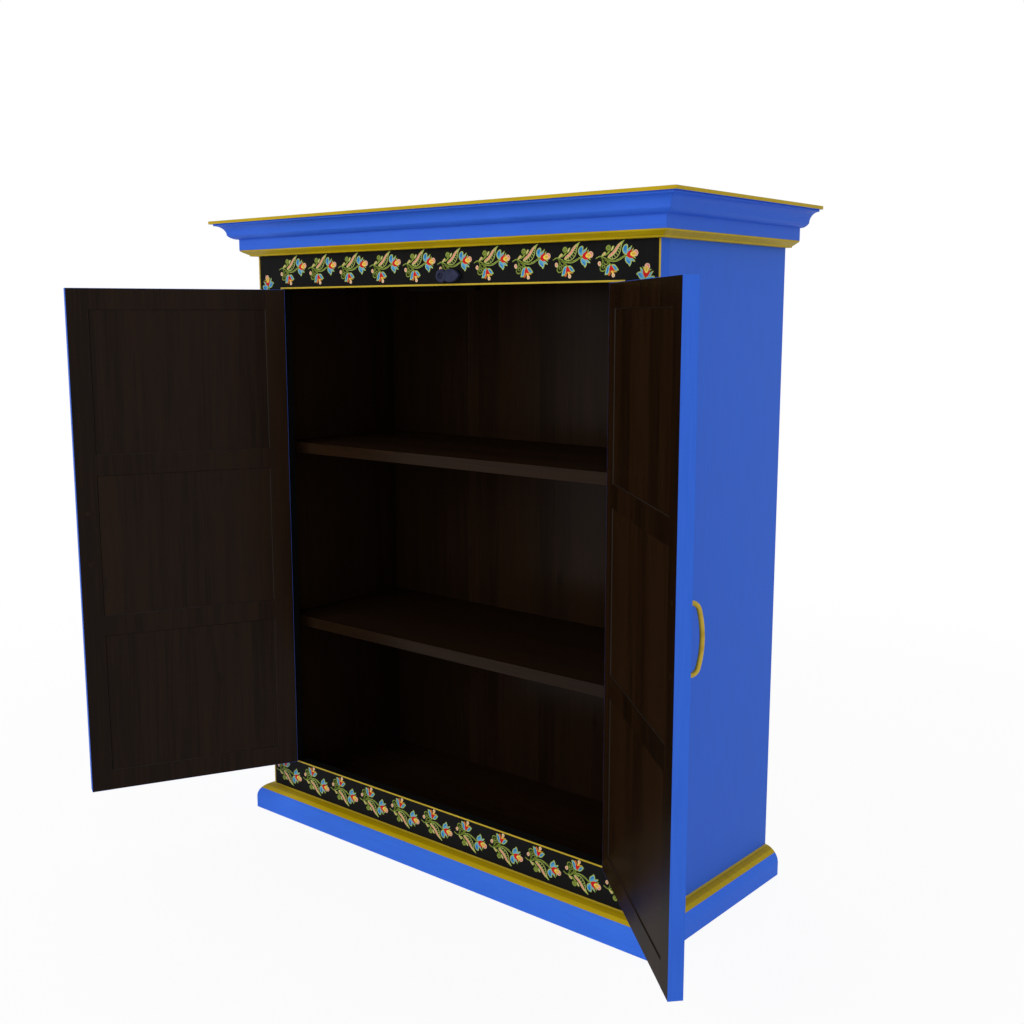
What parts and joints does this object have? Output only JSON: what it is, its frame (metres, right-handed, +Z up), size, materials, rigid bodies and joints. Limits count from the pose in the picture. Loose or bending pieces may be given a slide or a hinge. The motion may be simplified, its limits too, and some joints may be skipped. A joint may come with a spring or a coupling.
{
  "type": "kas cupboard",
  "caption": "Painted wooden cupboard with panelled double doors on butt hinges, fixed shelves, a moulded cornice and plinth, a turn button and bow handles.",
  "frame": {"origin": "on the floor, under the middle of the body", "axes": "+Z up, front of the cupboard towards -Y, +X to the right as seen from the front"},
  "size_m": [1.2876, 0.7569, 1.2],
  "materials": {
    "blue_paint": "satin cobalt blue paint on wood",
    "gold_paint": "ochre gold paint on wood",
    "black_paint": "black paint with a painted flower border",
    "dark_wood": "dark brown stain under satin varnish",
    "gilt_handle": "aged brass",
    "dark_iron": "dark blue-black iron",
    "black_iron": "black painted iron"
  },
  "bodies": {
    "carcass": {"back_board_1": "dark_wood", "back_board_2": "dark_wood", "back_board_3": "dark_wood", "back_board_4": "dark_wood", "back_foot_rail": "dark_wood", "base_rail": "black_paint", "bed_mould_front": "gold_paint", "bed_mould_left": "gold_paint", "bed_mould_right": "gold_paint", "bottom_board": "dark_wood", "button_screw": "dark_iron", "button_washer": "dark_iron", "centre_bearer": "dark_wood", "corner_blocks": "dark_wood", "cornice_cap": "gold_paint", "crown_front": "blue_paint", "crown_left": "blue_paint", "crown_right": "blue_paint", "door_stop": "dark_wood", "frame_hinge_leaves": "black_iron", "frame_stile_left": "black_paint", "frame_stile_right": "black_paint", "frieze_rail": "black_paint", "hinge_pins": "black_iron", "lower_shelf": "dark_wood", "plinth_front": "blue_paint", "plinth_left": "blue_paint", "plinth_right": "blue_paint", "side_panel_left": "blue_paint", "side_panel_right": "blue_paint", "top_board": "dark_wood", "upper_shelf": "dark_wood"},
    "left_door": {"left_door_bottom_panel": "blue_paint", "left_door_bottom_rail": "blue_paint", "left_door_hinge_leaves": "black_iron", "left_door_hinge_stile": "blue_paint", "left_door_lower_rail": "blue_paint", "left_door_meeting_stile": "blue_paint", "left_door_middle_panel": "blue_paint", "left_door_top_panel": "blue_paint", "left_door_top_rail": "blue_paint", "left_door_upper_rail": "blue_paint", "left_handle": "gilt_handle", "left_handle_bolts": "dark_iron"},
    "right_door": {"right_door_bottom_panel": "blue_paint", "right_door_bottom_rail": "blue_paint", "right_door_hinge_leaves": "black_iron", "right_door_hinge_stile": "blue_paint", "right_door_lower_rail": "blue_paint", "right_door_meeting_stile": "blue_paint", "right_door_middle_panel": "blue_paint", "right_door_top_panel": "blue_paint", "right_door_top_rail": "blue_paint", "right_door_upper_rail": "blue_paint", "right_handle": "gilt_handle", "right_handle_bolts": "dark_iron"},
    "button": {"turn_button": "dark_iron"}
  },
  "joints": [
    {"name": "left_door_hinge", "type": "hinge", "parent": "carcass", "child": "left_door", "pos_m": [-0.401, -0.193, 0.5946], "axis": [0, 0, -1], "range_deg": [-115.3, 54.7]},
    {"name": "right_door_hinge", "type": "hinge", "parent": "carcass", "child": "right_door", "pos_m": [0.401, -0.193, 0.5946], "axis": [0, 0, 1], "range_deg": [-138.4, 31.6]},
    {"name": "button_turn", "type": "hinge", "parent": "carcass", "child": "button", "pos_m": [0.0273, -0.1992, 1.0862], "axis": [0, 1, 0], "range_deg": [0, 180]}
  ]
}
